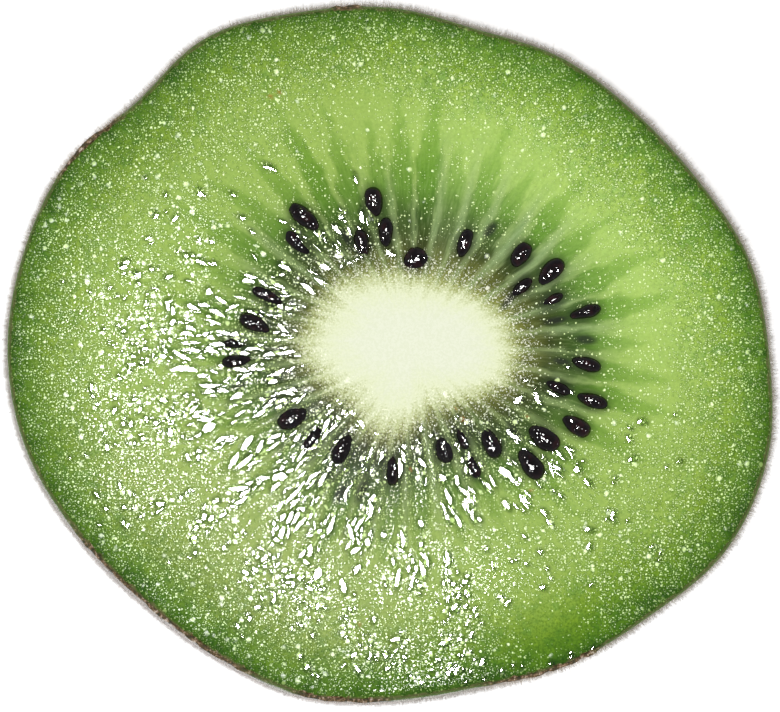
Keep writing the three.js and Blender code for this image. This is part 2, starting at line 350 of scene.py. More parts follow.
def gleam_fields(x, y, from_core, from_rim, wall):
    """Share of the face with wet beads, how broad and low they are, and where drops run together."""
    bearing, distance = about_core(x, y)
    lit = 0.5 + 0.5 * np.cos(np.radians(bearing - FLASH_SIDE))
    side = eased(lit, 0.06, 0.6)
    patchy = value_noise(x, y, 2.2, 5)
    outer = eased(distance, 13.0, 16.5)
    rim_band = eased(-from_rim, -8.0, -3.0)
    drawn_out = value_noise(bearing / 2.4, distance / 2.2, 1.2, 15)
    inner = 0.42 + 0.26 * eased(lit, 0.6, 0.95) + 0.14 * hump(angle_between(bearing, 262), 0, 35)
    by_rim = 0.14 + (0.76 + 0.24 * eased(lit, 0.25, 0.6)) * rim_band
    wet = np.maximum(by_rim, side * (inner + (0.95 - inner) * outer))
    wet = np.maximum(wet, wall * eased(lit, 0.05, 0.4) * 1.3)
    wet += 0.2 * patchy
    core_edge = hump(from_core, 0.6, 1.1)
    core_ring = hump(from_core, 1.5, 2.2) * eased(lit, 0.12, 0.55)
    wet = np.maximum(wet, np.maximum(0.9 * core_edge, 1.1 * core_ring)) * eased(from_core, -0.9, 0.0)
    foot_band = hump(angle_between(bearing, 272), 0, 14) * rim_band
    broad = eased(lit, 0.3, 0.95) * (0.4 + 0.6 * eased(from_rim, 1.0, 8.0)) + 0.2 * patchy
    broad = np.maximum(broad, np.maximum(core_ring, foot_band)) * eased(from_core, 0.2, 1.6)
    merged = hump(distance, 14.8, 5.2) * eased(np.cos(np.radians(bearing - 238)), -0.35, 0.85)
    merged = np.maximum(merged, hump(from_core, 2.4, 3.2) * eased(lit, 0.1, 0.5))
    merged = np.maximum(merged, 0.9 * foot_band * eased(from_rim, 0.4, 1.4))
    merged *= eased(drawn_out + 0.4 * patchy, -0.35, 0.4) * eased(from_core, 0.6, 1.8)
    calm = 1 - hump(x, 11.0, 5.5) * hump(y, -18.5, 4.5) - 0.45 * hump(x, -9.0, 5.0) * hump(y, 11.0, 4.0)
    gleam = {"wet": wet * calm, "broad": broad, "merged": merged * calm}
    return {key: np.clip(field, 0, 1) for key, field in gleam.items()}


def face_fields(x, y, from_rim):
    """What the flesh's height and colour depend on, at each point of the cut face."""
    bearing, distance = about_core(x, y)
    from_core = distance - ring_radius(CORE_RADII, bearing)
    wall = wall_mask(bearing, distance)
    shade = eased(np.abs(angle_between(bearing, 40)), 20, 75)
    shade = np.maximum(shade, 0.6 * (1 - eased(from_core, 1.5, 4.5)))
    by_core = 1 - eased(from_core, 1.5, 3.5)
    shade *= 1 - 0.75 * by_core * eased(np.abs(angle_between(bearing, 5)), 40, 85)
    # Painted glint haze: the flesh paler and greyer on the side that glints most.
    painted_glint_haze = hump(angle_between(bearing, 240), 0, 50) * eased(from_rim, 0.5, 4.0)
    # Painted shade: darker, deeper green near the rim at the lower right.
    painted_rim_shade = hump(angle_between(bearing, 298), 0, 27) * (1 - eased(from_rim, 1.0, 7.5))
    facing = 0.5 - 0.5 * np.cos(np.radians(bearing - 45))
    brown = 1 - green_edge(np.degrees(np.arctan2(y, x)), np.zeros_like(x))
    return {
        "from_core": from_core,
        # On the side facing the flash the pale core reaches further out: painted glint haze.
        "from_edge": (from_core + 0.25 - 1.15 * facing) / (1 + 0.7 * facing),
        "from_rim": from_rim,
        "distance": distance,
        "pocket": pocket_mask(bearing, distance),
        "wall": wall,
        # painted shade round the seeds
        "painted_seed_shade": oval_falloff(x, y, SEEDS + HALF_BURIED_SEEDS, 0.5),
        "sunken": oval_falloff(x, y, SUNKEN_SEEDS, 0.1),
        "blemish": blemish_mask(x, y),
        **gleam_fields(x, y, from_core, from_rim, wall),
        "shade": shade,
        # painted glint haze
        "painted_glint_haze": painted_glint_haze,
        # painted shade near the rim at the lower right
        "painted_rim_shade": painted_rim_shade,
        "brown": brown,
    }


def face_height(x, y, fields):
    """Height of the cut face, crowned at the core, sunk round the seeds and rounded off at the rim."""
    near_pockets = eased(fields["from_core"], 0.2, 2.0) * (1 - eased(fields["distance"], 12, 17))
    height = HEIGHT + CORE_CROWN * (1 - eased(fields["from_core"], -5.0, 0.0))
    height -= near_pockets * (SEED_RING_DIP + POCKET_DIP * fields["pocket"] - WALL_RIDGE * fields["wall"])
    height += FACE_UNEVENNESS * value_noise(x, y, 1.6, 2)
    return height - RIM_ROUNDING * (1 - eased(fields["from_rim"], 0.0, RIM_ROUNDING_WIDTH)) ** 2


def flesh_geometry(drops):
    """The cut face in rings from the core's centre to the rim, and a plain body under it."""
    core_x, core_y = on_spoke(CORE_CENTRE, BEARINGS, ring_radius(CORE_RADII, BEARINGS))
    rim = ring_radius(RIM_RADII, BEARINGS) - SKIN_THICKNESS
    rim_x, rim_y = on_spoke(FRUIT_AXIS, BEARINGS, rim)
    core_share = np.arange(1, CORE_RINGS)[:, None] / CORE_RINGS
    flesh_share = np.arange(FLESH_RINGS + 1)[:, None] / FLESH_RINGS
    x = np.concatenate([
        CORE_CENTRE[0] + core_share * (core_x - CORE_CENTRE[0]),
        core_x + flesh_share * (rim_x - core_x),
    ])
    y = np.concatenate([
        CORE_CENTRE[1] + core_share * (core_y - CORE_CENTRE[1]),
        core_y + flesh_share * (rim_y - core_y),
    ])
    span = np.hypot(rim_x - core_x, rim_y - core_y)
    from_rim = np.concatenate([span + np.zeros_like(core_share), span * (1 - flesh_share)])
    fields = face_fields(x, y, from_rim)
    # Painted shadow round each drop of juice.
    fields["painted_drop_shadow"] = oval_falloff(x, y, [drop[:5] for drop in drops], 0.13)
    face_rings = list(np.stack([x, y, face_height(x, y, fields)], -1))
    hidden = np.linspace(0.03, 0.97, HIDDEN_RINGS)
    insets = SKIN_THICKNESS + (HIDDEN_INSET - SKIN_THICKNESS) * eased(hidden, 0.0, 0.4)
    hidden_rings = [skin_point(BEARINGS, share, inset) for share, inset in zip(hidden, insets)]
    for ring in hidden_rings:
        ring[:, 2] = np.maximum(ring[:, 2], HIDDEN_INSET)
    top = [*CORE_CENTRE, HEIGHT + CORE_CROWN]
    bottom = [*FRUIT_AXIS, HIDDEN_INSET]
    points, faces = closed_rings(face_rings + hidden_rings, top, bottom)
    unseen = np.zeros(HIDDEN_RINGS * COLUMNS + 2)
    attributes = {key: np.concatenate([field.ravel(), unseen]) for key, field in fields.items()}
    top_pole = -2  # the middle of the core
    attributes["from_core"][top_pole] = -5.0
    attributes["from_edge"][top_pole] = -5.0
    attributes["from_rim"][top_pole] = 20.0
    return points, faces, attributes


# ---- materials


class Graph:
    """Adds and links the nodes of one material."""

    def __init__(self, name):
        self.material = bpy.data.materials.new(name)
        self.material.use_nodes = True
        self.nodes = self.material.node_tree.nodes
        self.links = self.material.node_tree.links
        self.shader = self.nodes["Principled BSDF"]

    def node(self, kind, inputs=None, **settings):
        made = self.nodes.new("ShaderNode" + kind)
        for key, value in settings.items():
            setattr(made, key, value)
        for key, value in (inputs or {}).items():
            self.feed(made.inputs[key], value)
        return made

    def feed(self, socket, value):
        if isinstance(value, bpy.types.NodeSocket):
            self.links.new(value, socket)
        else:
            socket.default_value = value

    def place(self):
        """Where a point is, in millimetres."""
        metres = self.node("TexCoord").outputs["Object"]
        return self.vector("SCALE", metres, Scale=1 / MM)

    def vector(self, operation, a, b=None, **more):
        inputs = {0: a, **more}
        if b is not None:
            inputs[1] = b
        return self.node("VectorMath", inputs, operation=operation).outputs[0]

    def attribute(self, name):
        return self.node("Attribute", attribute_name=name).outputs["Fac"]

    def math(self, operation, a, b=0.0):
        return self.node("Math", {0: a, 1: b}, operation=operation).outputs[0]

    def times(self, a, b):
        return self.math("MULTIPLY", a, b)

    def plus(self, a, b):
        return self.math("ADD", a, b)

    def step(self, value, low, high, out_low=0.0, out_high=1.0):
        """value eased from out_low at low to out_high at high."""
        inputs = {"Value": value, "From Min": low, "From Max": high, "To Min": out_low, "To Max": out_high}
        made = self.node("MapRange", inputs, interpolation_type="SMOOTHSTEP")
        return made.outputs["Result"]

    def mix(self, factor, a, b, blend="MIX"):
        made = self.node("Mix", data_type="RGBA", blend_type=blend)
        for index, value in ((0, factor), (6, a), (7, b)):
            self.feed(made.inputs[index], (*value, 1) if isinstance(value, tuple) else value)
        return made.outputs[2]

    def blend(self, factor, a, b):
        made = self.node("Mix", data_type="FLOAT")
        for index, value in ((0, factor), (2, a), (3, b)):
            self.feed(made.inputs[index], value)
        return made.outputs[0]

    def ramp(self, value, stops):
        """Colours along a value. Each stop is where it lies, red, green and blue."""
        made = self.node("ValToRGB", {0: value})
        elements = made.color_ramp.elements
        while len(elements) < len(stops):
            elements.new(0.5)
        for element, (at, *tone) in zip(elements, stops):
            element.position = at
            element.color = (*colour(*tone), 1)
        return made.outputs[0]

    def noise(self, vector, scale, detail=2.0, roughness=0.5):
        inputs = {"Vector": vector, "Scale": scale, "Detail": detail, "Roughness": roughness}
        return self.node("TexNoise", inputs).outputs["Fac"]

    def wobble(self, vector, scale, detail, size):
        """Noise between about -size and size."""
        return self.times(self.math("SUBTRACT", self.noise(vector, scale, detail), 0.5), 2 * size)

    def moved(self, vector, scale, size):
        """The vector shifted about by smooth noise, by about the given size."""
        noise = self.node("TexNoise", {"Vector": vector, "Scale": scale, "Detail": 1.0})
        return self.vector("ADD", vector, self.vector("SCALE", noise.outputs["Color"], Scale=2 * size))

    def cells(self, vector, scale):
        return self.node("TexVoronoi", {"Vector": vector, "Scale": scale}).outputs["Distance"]

    def height_of(self, place):
        """Height above the table, in millimetres."""
        return self.node("SeparateXYZ", {0: place}).outputs["Z"]

    def surface(self, inputs):
        """Values and links for the shader's own sockets."""
        for name, value in inputs.items():
            self.feed(self.shader.inputs[name], value)

    def bump(self, height):
        """Bends the surface by a height in millimetres."""
        made = self.node("Bump", {"Strength": 1.0, "Distance": MM, "Height": height})
        self.surface({"Normal": made.outputs[0]})


def colour(red, green, blue):
    """A linear colour from the 0 to 255 numbers of a screen."""
    share = np.array([red, green, blue]) / 255
    linear = np.where(share <= 0.04045, share / 12.92, ((share + 0.055) / 1.055) ** 2.4)
    return tuple(float(v) for v in linear)


def spoke_vector(g, place, around, outward):
    """A vector that changes quickly round the core and slowly along its spokes."""
    flat = g.vector("MULTIPLY", place, (1, 1, 0))
    heading = g.vector("NORMALIZE", g.vector("SUBTRACT", flat, (*CORE_CENTRE, 0)))
    along = g.node("CombineXYZ", {2: g.times(g.attribute("distance"), outward)}).outputs[0]
    return g.vector("ADD", g.vector("SCALE", heading, Scale=around), along)


def flesh_tones(g, place, spokes):
    """Colour of the flesh from core to rim, with the seed pockets and the walls between them."""
    from_core = g.attribute("from_core")
    uneven = g.plus(g.wobble(place, 0.3, 2, 0.9), g.wobble(spokes, 1.2, 2, 0.9))
    uneven = g.plus(uneven, g.wobble(place, 1.3, 2, 0.7))
    rim_at = g.times(g.plus(g.attribute("from_rim"), uneven), 0.1)
    outer = g.ramp(rim_at, [
        (0.0, 62, 104, 14),
        (0.05, 82, 124, 26),
        (0.13, 106, 146, 46),
        (0.28, 136, 171, 66),
        (0.50, 166, 198, 98),
        (0.75, 173, 205, 106),
    ])
    core_at = g.times(g.plus(from_core, g.wobble(spokes, 1.2, 2, 0.5)), 0.1)
    inside = g.ramp(core_at, [
        (0.0, 154, 158, 84),
        (0.10, 112, 116, 50),
        (0.24, 60, 70, 24),
        (0.42, 64, 92, 32),
        (0.62, 104, 148, 50),
        (0.95, 120, 166, 54),
    ])
    between = g.ramp(core_at, [
        (0.0, 174, 180, 124),
        (0.12, 140, 147, 92),
        (0.32, 120, 140, 88),
        (0.55, 138, 166, 92),
        (0.88, 163, 197, 98),
    ])
    mottled = g.noise(place, 1.4, 3, 0.6)
    outward = g.step(g.attribute("from_rim"), 7.0, 2.5, 0.15, 1.0)
    outer = g.mix(g.times(g.step(mottled, 0.5, 0.66), outward), outer, (0.76, 0.88, 0.98), "MULTIPLY")
    outer = g.mix(g.times(g.step(mottled, 0.48, 0.34), outward), outer, (1.12, 1.08, 0.84), "MULTIPLY")
    base = g.mix(g.step(from_core, 5.0, 9.5), between, outer)
    base = g.mix(g.attribute("pocket"), base, inside)
    base = g.mix(g.times(g.attribute("wall"), 0.7), base, colour(150, 174, 122))
    fibres = g.noise(spoke_vector(g, place, 60.0, 0.9), 1.0, 3, 0.6)
    inner = g.step(g.attribute("distance"), 18, 9, 0.1, 0.6)
    base = g.mix(g.times(g.step(fibres, 0.45, 0.7), inner), base, (0.62, 0.72, 0.58), "MULTIPLY")
    base = g.mix(g.times(g.step(fibres, 0.5, 0.3), g.times(inner, 0.22)), base, colour(190, 210, 150))
    spots = [
        # painted shade round the seeds
        ("painted_seed_shade", 0.75, colour(30, 36, 26)),
        ("sunken", 0.8, colour(26, 24, 30)),
        ("blemish", 0.7, colour(186, 124, 62)),
    ]
    for name, strength, tone in spots:
        base = g.mix(g.times(g.attribute(name), strength), base, tone)
    tints = [
        ("shade", (0.80, 0.80, 0.70)),
        # painted shadow round the drops of juice
        ("painted_drop_shadow", (0.40, 0.44, 0.38)),
        # painted shade near the rim at the lower right
        ("painted_rim_shade", (0.70, 0.83, 0.26)),
        # painted glint haze on the side that glints most
        ("painted_glint_haze", (0.96, 0.89, 1.0)),
    ]
    for name, tint in tints:
        base = g.mix(g.attribute(name), base, tint, "MULTIPLY")
    # painted glint haze: a little grey laid over the flesh on the side that glints most
    return g.mix(g.times(g.attribute("painted_glint_haze"), 0.05), base, (0.5, 0.45, 0.55))


def core_tones(g, place, base):
    """The pale core laid over the flesh, with a grainy edge drawn out along the spokes and painted glints by
    it.
    """
    ragged = g.plus(g.wobble(spoke_vector(g, place, 20.0, 0.4), 1.0, 2, 0.6), g.wobble(place, 7.5, 2, 1.0))
    from_edge = g.plus(g.attribute("from_edge"), ragged)
    from_edge = g.math("SUBTRACT", from_edge, g.times(g.attribute("wall"), 0.4))
    core_tone = g.ramp(g.step(g.plus(from_edge, g.wobble(place, 1.6, 3, 0.5)), -3.0, 0.6), [
        (0.0, 226, 230, 208),
        (0.6, 223, 229, 194),
        (1.0, 184, 193, 132),
    ])
    grain = g.step(g.noise(place, 6.0, 2, 0.7), 0.42, 0.58)
    core_tone = g.mix(grain, core_tone, (0.95, 0.96, 0.92), "MULTIPLY")
    both = g.mix(g.step(from_edge, 0.6, -0.5), base, core_tone)
    by_edge = g.step(g.math("ABSOLUTE", g.plus(g.attribute("from_core"), -0.2)), 1.5, 0.5)
    # Painted glints: small white specks along the core's edge.
    painted_sparks = g.times(g.step(g.noise(place, 7.0, 1, 0.6), 0.60, 0.68), by_edge)
    return g.mix(g.times(painted_sparks, 0.8), both, colour(248, 250, 224))


def beads(g, place, scale, share, steep, reach=0.4):
    """Height of wet beads, one in a share of the cells of a flat lattice, a painted glint and a painted
    shade.

    The painted glint is 0 between beads and 0.4 to 0.9 in the middle of one, and also marks the beads.
    The painted shade is 1 in a bead and fades out just beside it. steep is the slope at a bead's edge:
    the lower it is, the broader the glint.
    """
    lattice = {"Vector": place, "Scale": scale, "Randomness": 0.85}
    cells = g.node("TexVoronoi", lattice, voronoi_dimensions="2D")
    drawn = g.node("SeparateColor", {0: cells.outputs["Color"]})
    size = g.step(drawn.outputs[1], 0.0, 1.0, 0.5 * reach, reach)
    away = g.math("DIVIDE", cells.outputs["Distance"], size)
    present = g.math("LESS_THAN", drawn.outputs[0], share)
    dome = g.math("MAXIMUM", g.math("SUBTRACT", 1.0, g.times(away, away)), 0.0)
    dome = g.times(dome, present)
    own = g.step(drawn.outputs[2], 0.0, 1.0, 0.3, 0.8)
    height = g.times(dome, g.times(size, g.times(own, g.times(steep, 1 / scale))))
    return height, g.times(dome, g.math("SUBTRACT", 1.2, own)), g.times(g.step(away, 2.0, 1.0), present)


def wet_relief(g, place):
    """Height of the wet face, whose beads glint where they face a light, with their painted glint and
    painted shade.
    """
    wet, broad, merged = (g.attribute(name) for name in ("wet", "broad", "merged"))
    strewn = g.moved(place, 3.0, 0.08)
    crowded = g.noise(spoke_vector(g, place, 38.0, 1.2), 1.0, 2, 0.6)
    gaps = g.step(g.attribute("from_rim"), 5.0, 9.0, 0.44, 0.2)
    crowd = g.times(wet, g.step(crowded, 0.40, 0.58, gaps, 2.0))
    by_core = g.step(g.attribute("from_core"), 4.5, 2.0)
    steep = g.times(g.step(broad, 0.0, 1.0, 0.45, 0.12), g.blend(by_core, 1.0, 0.72))
    layers = [
        beads(g, strewn, 6.6, g.times(crowd, 0.85), steep),
        beads(g, strewn, 3.7, crowd, steep),
        beads(g, strewn, 2.1, g.times(crowd, g.plus(merged, 0.06)), 0.09, 0.48),
        beads(g, strewn, 1.2, g.times(crowd, 0.015), 0.15, 0.18),
    ]
    relief, bead_and_painted_glint, bead_shade = layers[0]
    for height, pale, foot in layers[1:]:
        relief = g.math("MAXIMUM", relief, height)
        bead_and_painted_glint = g.math("MAXIMUM", bead_and_painted_glint, pale)
        bead_shade = g.math("MAXIMUM", bead_shade, foot)
    grain = g.times(g.noise(place, 2.6, 3), g.step(g.attribute("from_core"), -1.0, 0.0, 0.01, 0.03))
    return g.plus(relief, grain), bead_and_painted_glint, bead_shade


def cut_peel(g, place):
    """The brown flecks of the peel where the knife went through it."""
    return g.ramp(g.noise(g.vector("MULTIPLY", place, (1, 1, 0.4)), 3.6, 3, 0.7), [
        (0.38, 34, 20, 12),
        (0.50, 80, 52, 30),
        (0.58, 146, 114, 88),
        (0.68, 212, 200, 190),
    ])


def flesh_material():
    g = Graph("wet_flesh")
    place = g.place()
    base = flesh_tones(g, place, spoke_vector(g, place, 11.0, 0.42))
    grain = g.step(g.noise(place, 4.5, 4, 0.65), 0.3, 0.7, 0.0, 0.14)
    base = g.mix(grain, base, colour(30, 62, 10))
    outward = g.step(g.attribute("from_rim"), 7.5, 3.5, 0.12, 0.9)
    fine = g.noise(place, 6.2, 2, 0.65)
    base = g.mix(g.times(g.step(fine, 0.52, 0.36), outward), base, (0.64, 0.72, 0.48), "MULTIPLY")
    base = g.mix(g.times(g.step(fine, 0.52, 0.66), outward), base, (1.22, 1.18, 1.3), "MULTIPLY")
    relief, bead_and_painted_glint, bead_shade = wet_relief(g, place)
    bead_shade = g.times(bead_shade, g.step(g.attribute("wet"), 0.15, 0.6))
    # Painted shade round each bead.
    base = g.mix(bead_shade, base, (0.68, 0.75, 0.56), "MULTIPLY")
    # Painted glints: the beads lighter, cream on the flesh and whiter near the core.
    near_rim = g.step(g.attribute("from_rim"), 0.2, 2.0, 0.45, 1.0)
    painted_glint_tone = g.mix(g.step(g.attribute("from_rim"), 1.0, 4.0), colour(198, 230, 138), colour(222, 244, 168))
    painted_glint_tone = g.mix(g.step(g.attribute("from_core"), 3.5, 1.0), painted_glint_tone, colour(234, 236, 212))
    base = g.mix(g.times(g.step(bead_and_painted_glint, 0.2, 0.75, 0.0, 0.95), near_rim), base, painted_glint_tone)
    edge = g.plus(g.attribute("from_rim"), g.wobble(place, 2.2, 2, 0.25))
    base = g.mix(g.step(edge, 0.2, 0.0, 0.0, 0.6), base, colour(120, 112, 78))
    torn = g.times(g.attribute("brown"), g.step(g.noise(place, 0.8, 2), 0.45, 0.56))
    base = g.mix(g.times(torn, g.step(edge, 0.17, 0.07)), base, cut_peel(g, place))
    polish = g.step(g.attribute("broad"), 0.3, 0.9, 0.3, 0.08)
    rough = g.blend(g.math("GREATER_THAN", bead_and_painted_glint, 0.02), 0.9, polish)
    tone = core_tones(g, place, base)
    g.surface({"Base Color": tone, "Roughness": rough, "Specular IOR Level": 0.3})
    g.bump(relief)
    return g.material


def seed_material():
    g = Graph("seed_coat")
    place = g.place()
    tone = g.mix(g.step(g.noise(place, 1.6, 3), 0.5, 0.75), colour(8, 3, 6), colour(38, 12, 16))
    g.surface({"Base Color": tone, "Roughness": 0.05, "Specular IOR Level": 0.7})
    dew, _, _ = beads(g, place, 2.4, 0.95, 0.3, 0.5)
    g.bump(g.plus(dew, g.times(g.noise(place, 2.2, 1.0), 0.05)))
    return g.material


def skin_material():
    g = Graph("skin")
    place = g.place()
    mottled = g.noise(place, 0.5, 4, 0.6)
    tone = g.ramp(mottled, [
        (0.25, 74, 54, 30),
        (0.45, 104, 78, 44),
        (0.60, 124, 96, 56),
        (0.80, 142, 114, 68),
    ])
    specks = g.times(g.step(g.cells(place, 1.1), 0.22, 0.10), 0.7)
    tone = g.mix(specks, tone, colour(58, 38, 20))
    fine = g.noise(place, 3.2, 3, 0.6)
    tone = g.mix(g.times(g.step(fine, 0.48, 0.36), 0.7), tone, colour(44, 26, 18))
    tone = g.mix(g.times(g.step(fine, 0.56, 0.68), 0.5), tone, colour(150, 104, 66))
    lip = g.step(g.height_of(place), HEIGHT - 1.4, HEIGHT - 0.5)
    tone = g.mix(lip, tone, cut_peel(g, place))
    tone = g.mix(g.times(g.attribute("green"), 0.85), tone, colour(80, 108, 42))
    tone = g.mix(g.attribute("scar"), tone, colour(58, 44, 30))
    g.surface({"Base Color": tone, "Roughness": 0.75, "Sheen Weight": 0.5, "Sheen Roughness": 0.4})
    g.bump(g.plus(g.times(g.noise(place, 2.2, 4, 0.6), 0.16), g.times(g.cells(place, 3.0), 0.05)))
    return g.material


def fuzz_material():
    g = Graph("fuzz")
    place = g.place()
    mottled = g.noise(place, 1.2, 3)
    tone = g.mix(mottled, colour(140, 114, 80), colour(206, 186, 150))
    by_cut = g.step(g.height_of(place), HEIGHT - 8, HEIGHT - 4)
    # Painted sheen of backlit fuzz: the hair paler near the cut, and nearly white on the swollen stretch and
    # at the tips.
    tone = g.mix(by_cut, tone, g.mix(mottled, colour(180, 166, 142), colour(216, 204, 184)))
    tone = g.mix(g.times(g.attribute("green"), 0.7), tone, colour(150, 146, 120))
    tone = g.mix(g.times(by_cut, g.attribute("swollen")), tone, colour(244, 238, 238))
    tone = g.mix(g.times(g.attribute("tip"), g.blend(by_cut, 0.5, 0.9)), tone, colour(238, 233, 230))
    g.surface({"Base Color": tone, "Roughness": 0.6})
    return g.material


def juice_material():
    """Clear juice that lets lamps through to the flesh below."""
    g = Graph("juice")
    g.surface({"Base Color": (0.97, 1.0, 0.92, 1), "Roughness": 0.03})
    g.surface({"IOR": 1.5, "Transmission Weight": 1.0})
    lamp = g.node("LightPath").outputs["Is Shadow Ray"]
    clear = g.node("BsdfTransparent", {"Color": (0.58, 0.62, 0.5, 1)})
    both = g.node("MixShader", {0: lamp, 1: g.shader.outputs[0], 2: clear.outputs[0]})
    g.feed(g.nodes["Material Output"].inputs["Surface"], both.outputs[0])
    return g.material


# ---- skin

SKIN_COLUMNS = 540
SKIN_RINGS = 96
SKIN_INNER_RINGS = 6
FOOT_SHARES = [0.85, 0.72, 0.6, 0.5, 0.42, 0.38, 0.34, 0.3, 0.2, 0.1]
FOOT_DIP = 0.04
SCAR_DIP = 0.35
SCAR_REACH = (2.2, 4.4)
CUT_CURL = 0.12
# Where the peel is brown up to the cut: bearing and half width, in degrees.
BROWN_STRETCHES = [(228, 24), (262, 10), (296, 12), (145, 8), (97, 3)]


def green_edge(bearing, drop):
    """1 where the skin has the flesh's green at the cut, 0 on the brown stretches and further down."""
    brown = np.zeros_like(bearing)
    for middle, half_width in BROWN_STRETCHES:
        away = np.abs(angle_between(bearing, middle))
        brown = np.maximum(brown, 1 - eased(away, 0.6 * half_width, half_width))
    return (1 - 0.85 * brown) * (1 - eased(drop, 0.3, 1.6))


def skin_geometry():
    """A thin shell over the flesh, open at the cut, with a woody scar in the middle of the foot."""
    bearings = np.arange(SKIN_COLUMNS) * 360 / SKIN_COLUMNS
    shares = (np.arange(SKIN_RINGS + 1) / SKIN_RINGS) ** 1.2
    outer = [skin_point(bearings, share) for share in shares]
    for ring in outer:
        drop = HEIGHT - ring[:, 2]
        around = bearings * 0.42
        rough = 0.05 * value_noise(around, drop, 0.9, 11) + 0.07 * value_noise(around, drop, 2.6, 12)
        out = ring[:, :2] / np.linalg.norm(ring[:, :2], axis=1, keepdims=True)
        ease = eased(drop, 0.3, 3.0) * eased(ring[:, 2], 0.0, 3.0)
        curl = CUT_CURL * (1 - eased(drop, 0.1, 0.8)) * (1 - green_edge(bearings, drop))
        crinkled = curl * (1 + value_noise(around, drop / 2, 0.5, 13))
        ring[:, :2] += out * (rough * ease + crinkled)[:, None]
    foot_edge = outer[-1]
    for share in FOOT_SHARES:
        ring = foot_edge.copy()
        ring[:, :2] *= share
        ring[:, 2] = SCAR_DIP * hump(share, 0.36, 0.08) + FOOT_DIP * eased(-share, -0.5, -0.1)
        outer.append(ring)
    inner_shares = np.linspace(0, 0.97, SKIN_INNER_RINGS)
    inner = [skin_point(bearings, share, SKIN_THICKNESS) for share in inner_shares[::-1]]
    inner_floor = HIDDEN_INSET - 0.1
    inner[0][:, 2] = inner_floor
    top_pole = [*FRUIT_AXIS, inner_floor]
    bottom_pole = [*FRUIT_AXIS, FOOT_DIP]
    points, faces = closed_rings(inner + outer, top_pole, bottom_pole)
    reach = np.hypot(points[:, 0], points[:, 1])
    outside = np.arange(len(points)) >= (SKIN_INNER_RINGS - 1) * SKIN_COLUMNS
    by_foot = points[:, 2] < 5
    scar = (1 - eased(reach, *SCAR_REACH)) * outside * by_foot
    green = green_edge(np.degrees(np.arctan2(points[:, 1], points[:, 0])), HEIGHT - points[:, 2])
    return points, faces, {"green": green, "scar": scar}


# ---- fuzz

HAIR_LENGTH = (0.35, 0.95)
HAIR_WIDTH = 0.022
HAIR_ROOTED = 0.05


def fuzz_geometry(seed, count, lowest_share, thinning, upright):
    """Short stiff hairs, each a thin three-sided cone, from near the cut down to the lowest share.

    Thinning is 1 where the hairs stand evenly, and less where they grow sparser downward.
    """
    rng = np.random.default_rng(seed)
    tries = count * 3
    bearing = rng.uniform(0, 360, tries)
    share = lowest_share * (1 - rng.uniform(0, 1, tries) ** thinning)
    step = 1e-3
    here = skin_point(bearing, share)
    across = skin_point(bearing + 1, share) - here
    down = skin_point(bearing, share + step) - here
    normal = np.cross(down, across)
    area = np.linalg.norm(normal, axis=1)
    bare = 0.8 * (1 - green_edge(bearing, np.zeros_like(bearing)))
    chance = area * (HEIGHT - here[:, 2] > bare)
    kept = np.flatnonzero(rng.uniform(0, np.quantile(area, 0.995), tries) < chance)[:count]
    here, down, normal = here[kept], down[kept], normal[kept] / area[kept, None]
    down /= np.linalg.norm(down, axis=1, keepdims=True)
    lean = down * rng.uniform(-0.5, 1.3, (len(kept), 1)) + rng.normal(0, 0.45, (len(kept), 3))
    heading = normal * upright + lean
    inward = np.minimum(0, np.sum(heading * normal, axis=1, keepdims=True) - 0.3)
    heading -= inward * normal
    heading /= np.linalg.norm(heading, axis=1, keepdims=True)
    length = rng.uniform(*HAIR_LENGTH, (len(kept), 1)) * rng.uniform(0.6, 1.0, (len(kept), 1))
    drop = HEIGHT - here[:, 2]
    swollen = np.maximum(0, np.cos(np.radians(bearing[kept] - SWELL_BEARING))) ** 2
    length *= 1 - 0.5 * (swollen * (1 - eased(drop, 4.0, 12.0)))[:, None]
    side = np.cross(heading, [0.31, 0.57, 0.76])
    side /= np.linalg.norm(side, axis=1, keepdims=True)
    other = np.cross(heading, side)
    root = here - HAIR_ROOTED * normal
    width = HAIR_WIDTH * (0.5 + 0.5 * eased(drop[:, None], 2.0, 8.0))
    corners = []
    for turn in (0, 2 * np.pi / 3, 4 * np.pi / 3):
        corners.append(root + width * (np.cos(turn) * side + np.sin(turn) * other))
    tip = here + heading * length
    tip[:, 2] = np.maximum(tip[:, 2], 0.03)
    points = np.stack([*corners, tip], axis=1).reshape(-1, 3)
    points[:, 2] = np.maximum(points[:, 2], 0.0)
    first = 4 * np.arange(len(kept))[:, None, None]
    cone = np.array([[0, 1, 3], [1, 2, 3], [2, 0, 3], [2, 1, 0]])
    attributes = {
        "green": np.repeat(green_edge(bearing[kept], drop - 0.8), 4),
        "swollen": np.repeat(swollen, 4),
        "tip": np.tile([0.0, 0.0, 0.0, 1.0], len(kept)),
    }
    return points, (first + cone).reshape(-1, 3).tolist(), attributes


# ---- seeds

SEED_SEGMENTS = 28
SEED_RINGS = 16


